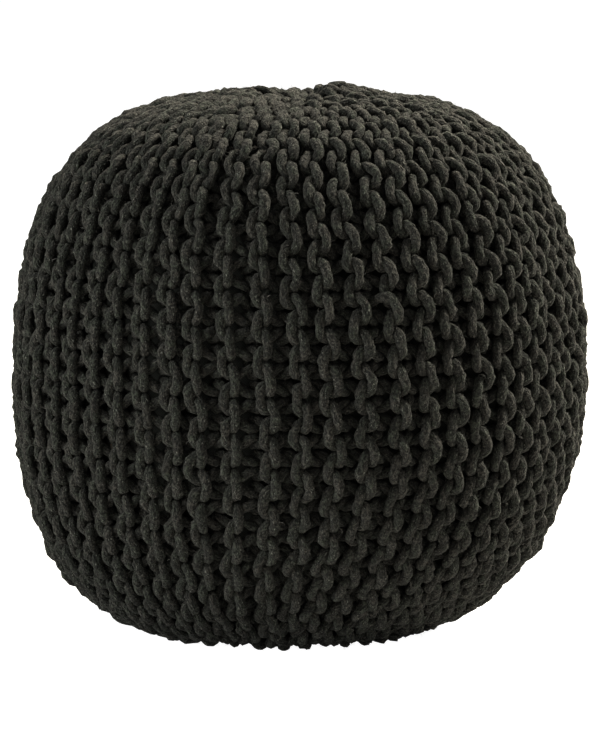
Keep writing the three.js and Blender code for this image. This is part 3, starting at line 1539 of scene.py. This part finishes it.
def hand_over(mesh: bpy.types.Mesh, material: bpy.types.Material) -> bpy.types.Object:
    """Makes the finished piece, carried by the pouf and standing for its solid.

    Args:
        mesh: the finished mesh.
        material: its material.

    Returns:
        The piece.
    """
    mesh.materials.clear()
    mesh.materials.append(material)
    mesh.polygons.foreach_set("use_smooth", np.ones(len(mesh.polygons), bool))
    piece = bpy.data.objects.new(mesh.name, mesh)
    bpy.context.collection.objects.link(piece)
    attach(piece, BODY)
    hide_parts(NODE)
    log.info("%s: %d faces", piece.name, len(mesh.polygons))
    return piece


@dataclass(frozen=True)
class FilledBody:
    """The filled body inside the knitting, seen only as darkness between the ropes.

    Attributes:
        form: the form over the ridges.
        under: how far it lies under the tops of the ridges.
        rings: rings from crown to base.
        steps: faces around.
        weld: distance within which its points are joined.
        fill: how tightly it is filled, from 0 to 1; not used.
    """

    form: PoufForm
    under: float = 0.0190
    rings: int = 56
    steps: int = 112
    weld: float = 1e-6
    fill: float = 0.9

    def make(self, material: bpy.types.Material) -> bpy.types.Object:
        """Turns the body and dresses it.

        Args:
            material: its cloth.

        Returns:
            The piece.
        """
        line = self.form.meridian()
        picks = np.linspace(0, len(line.run) - 1, self.rings + 1).astype(int)
        radius = np.maximum(line.radius - self.under * line.out_r, 0)[picks]
        height = (line.height - self.under * line.out_z)[picks]
        radius[[0, -1]] = 0
        work = bmesh.new()
        points = [work.verts.new((r, 0, z)) for r, z in zip(radius, height)]
        edges = [work.edges.new(pair) for pair in zip(points, points[1:])]
        bmesh.ops.spin(work, geom=points + edges, axis=(0, 0, 1), cent=(0, 0, 0), angle=FULL_TURN,
                       steps=self.steps, use_merge=True)
        bmesh.ops.remove_doubles(work, verts=work.verts[:], dist=self.weld)
        for point in work.verts:
            point.co.x += self.form.lean(point.co.z)
        bmesh.ops.recalc_face_normals(work, faces=work.faces[:])
        piece = hand_over(new_mesh(work, "filled_body"), material)
        return piece


@dataclass(frozen=True)
class LooseFibres:
    """Short fibres that stand off the rope.

    Attributes:
        cover: the knitted cover.
        count: number of fibres.
        thickness: thickness of a fibre.
        sides: faces around it.
        taper: its thickness at its root, bend and tip, as shares.
        lengths: shortest and longest fibre.
        seed: seed of their places.
        ends: points at the ends of a rope that carry none.
        centre: height of the point that they stand away from.
        scatter: unevenness of their directions.
        least_out: least share of a direction that points out.
        root: distance of a fibre's root from the rope's middle, in rope thicknesses.
        bend: how far a fibre has come at its bend, ahead and to the side, in its length.
        tip: the same at its tip.
        tone_power: how few of them are pale.
    """

    cover: KnittedCover
    count: int = 5200
    thickness: float = 0.00016
    sides: int = 4
    taper: tuple[float, float, float] = (1.0, 0.8, 0.25)
    lengths: tuple[float, float] = (0.0018, 0.0050)
    seed: int = 23
    ends: int = 2
    centre: float = 0.17
    scatter: float = 0.55
    least_out: float = 0.25
    root: float = 0.47
    bend: tuple[float, float] = (0.55, 0.12)
    tip: tuple[float, float] = (0.75, 0.60)
    tone_power: float = 1.5

    def make(self, material: bpy.types.Material) -> bpy.types.Object:
        """Scatters the fibres on the ropes' outsides.

        Args:
            material: the fibres' material.

        Returns:
            The piece.
        """
        rng = np.random.default_rng(self.seed)
        rope, inner = self.cover.gauge.rope, slice(self.ends, -self.ends)
        points = np.concatenate([s.points[inner] for s in self.cover.strands])
        depth = np.concatenate([s.depth[inner] for s in self.cover.strands])
        shown = points[depth < rope]
        root = shown[rng.integers(0, len(shown), self.count)]
        out = unit(root - np.array([0, 0, self.centre]))
        aim = unit(out + rng.normal(0, self.scatter, root.shape))
        aim += out * np.clip(self.least_out - (aim * out).sum(1), 0, None)[:, None]
        turn = unit(np.cross(aim, rng.normal(0, 1, root.shape)))
        length = rng.uniform(*self.lengths, self.count)[:, None]
        start = root + aim * rope * self.root
        bend, tip = (start + (aim * ahead + turn * aside) * length for ahead, aside in (self.bend, self.tip))
        for point in (start, bend, tip):
            point[:, 2] = np.maximum(point[:, 2], 2 * self.thickness)
        fibres = [(np.stack(p), np.array(self.taper)) for p in zip(start, bend, tip)]
        mesh = tube_mesh("loose_fibres", fibres, self.thickness, self.sides)
        tone = rng.uniform(0, 1, self.count) ** self.tone_power
        write_mark(mesh, TONE_AND_SHADE, np.repeat(tone, len(self.taper) * self.sides))
        close_ends(mesh)
        return hand_over(mesh, material)


# The studio

def stand_up(name: str, data: bpy.types.ID, place: Sequence[float], aim: Vector) -> bpy.types.Object:
    """Stands a lamp or camera in its place, turned to a point.

    Args:
        name: its name.
        data: the lamp or camera.
        place: where it stands.
        aim: the point.

    Returns:
        Its object.
    """
    stand = bpy.data.objects.new(name, data)
    stand.location = place
    stand.rotation_euler = (aim - Vector(place)).to_track_quat("-Z", "Y").to_euler()
    bpy.context.collection.objects.link(stand)
    return stand


@dataclass(frozen=True)
class Softbox:
    """A soft light.

    Attributes:
        name: its name.
        place: where it stands.
        size: side of its square.
        power: its power in watts.
        tint: its colour.
    """

    name: str
    place: tuple[float, float, float]
    size: float
    power: float
    tint: tuple[float, float, float]

    def make(self, aim: Vector) -> None:
        """Sets the light up, turned to a point.

        Args:
            aim: the point.
        """
        lamp = bpy.data.lights.new(self.name, "AREA")
        lamp.size, lamp.energy, lamp.color = self.size, self.power, self.tint
        stand_up(self.name, lamp, self.place, aim)


@dataclass(frozen=True)
class Studio:
    """The camera, the pale floor and the soft lights.

    Attributes:
        distance: from the camera to the pouf's axis.
        elevation: height of the view above level, in degrees.
        aim_height: height at which the camera looks.
        lens: focal length on the sensor, along the image's longer side.
        sensor: size of the sensor in millimetres.
        sight: distance to which the camera sees.
        sky: brightness of the white all around, as the camera sees it.
        room: brightness of the light that comes from all around.
        floor_size: half the side of the floor.
        floor_grey: lightness of the floor in the studio's light.
        floor_preview: lightness of the floor without its nodes.
        floor_roughness: of the floor.
        floor_glow: brightness of the lit floor's own light.
        lights: the soft lights.
    """

    distance: float = 3.3
    elevation: float = 7.0
    aim_height: float = 0.1852
    lens: float = 229.9
    sensor: float = 36
    sight: float = 60
    sky: float = 1.0
    room: float = 0.120
    floor_size: float = 12
    floor_grey: float = 0.5
    floor_preview: float = 0.9
    floor_roughness: float = 0.9
    floor_glow: float = 0.13
    lights: tuple[Softbox, ...] = (
        Softbox("key_light", (2.15, 0.52, 2.20), 0.35, 203, (1.0, 0.97, 0.86)),
        Softbox("top_light", (0.3, 1.3, 2.0), 0.5, 68, (1.0, 0.90, 0.75)),
        Softbox("left_light", (-2.1, -1.2, 0.75), 1.4, 60, (0.97, 1.0, 0.97)),
        Softbox("front_light", (0.4, -3.0, 1.2), 0.8, 4, (0.98, 1.0, 0.98)),
        Softbox("rim_light", (1.7, 2.2, 1.0), 0.5, 55, (1.0, 0.86, 0.70)),
    )

    def make(self) -> None:
        """Sets up the camera, the lights, the surroundings and the floor."""
        aim = Vector((0, 0, self.aim_height))
        self.set_camera(aim)
        for light in self.lights:
            light.make(aim)
        self.set_room()
        self.lay_floor()

    def set_camera(self, aim: Vector) -> None:
        """Stands the camera at the photograph's angle.

        Args:
            aim: the point that it looks at.
        """
        angle = math.radians(self.elevation)
        eye = bpy.data.cameras.new("camera")
        eye.lens, eye.sensor_width, eye.sensor_fit = self.lens, self.sensor, "AUTO"
        eye.clip_end = self.sight
        place = aim + self.distance * Vector((0, -math.cos(angle), math.sin(angle)))
        bpy.context.scene.camera = stand_up("camera", eye, place, aim)

    def set_room(self) -> None:
        """Makes the surroundings white for the camera, and dim as a light."""
        world = bpy.data.worlds.new("white_room")
        bench = Bench(world, "ShaderNodeBackground", "ShaderNodeOutputWorld")
        bright = bench.node("ShaderNodeMapRange", {},
                            {"Value": bench.camera_ray(), "To Min": self.room, "To Max": self.sky})
        bench.dress({"Color": paint(1, 1, 1), "Strength": bright.outputs[0]})
        bpy.context.scene.world = world
        bpy.context.scene.view_settings.view_transform = "Standard"

    def lay_floor(self) -> None:
        """Lays the floor, white for the camera as the surroundings are."""
        work = bmesh.new()
        bmesh.ops.create_grid(work, x_segments=1, y_segments=1, size=self.floor_size)
        mesh = new_mesh(work, "floor")
        material, bench = start_material("pale_floor", 3 * (self.floor_preview,))
        glow = bench.blend(bench.camera_ray(), paint(*3 * (self.floor_glow,)), paint(1, 1, 1))
        bench.dress({"Base Color": paint(*3 * (self.floor_grey,)), "Roughness": self.floor_roughness,
                     "Specular IOR Level": 0.0, "Emission Color": glow, "Emission Strength": 1.0})
        mesh.materials.append(material)
        floor = bpy.data.objects.new("floor", mesh)
        bpy.context.collection.objects.link(floor)


def main() -> None:
    """Builds the pouf and its studio."""
    logging.basicConfig(level=logging.INFO, format="%(message)s")
    form = PoufForm()
    Studio().make()
    FilledBody(form).make(BodyFinish().make())
    cover = KnittedCover(form)
    cover.knit()
    cover.make_panels(RopeFinish().make())
    LooseFibres(cover).make(FuzzFinish().make())


if __name__ == "__main__":
    main()
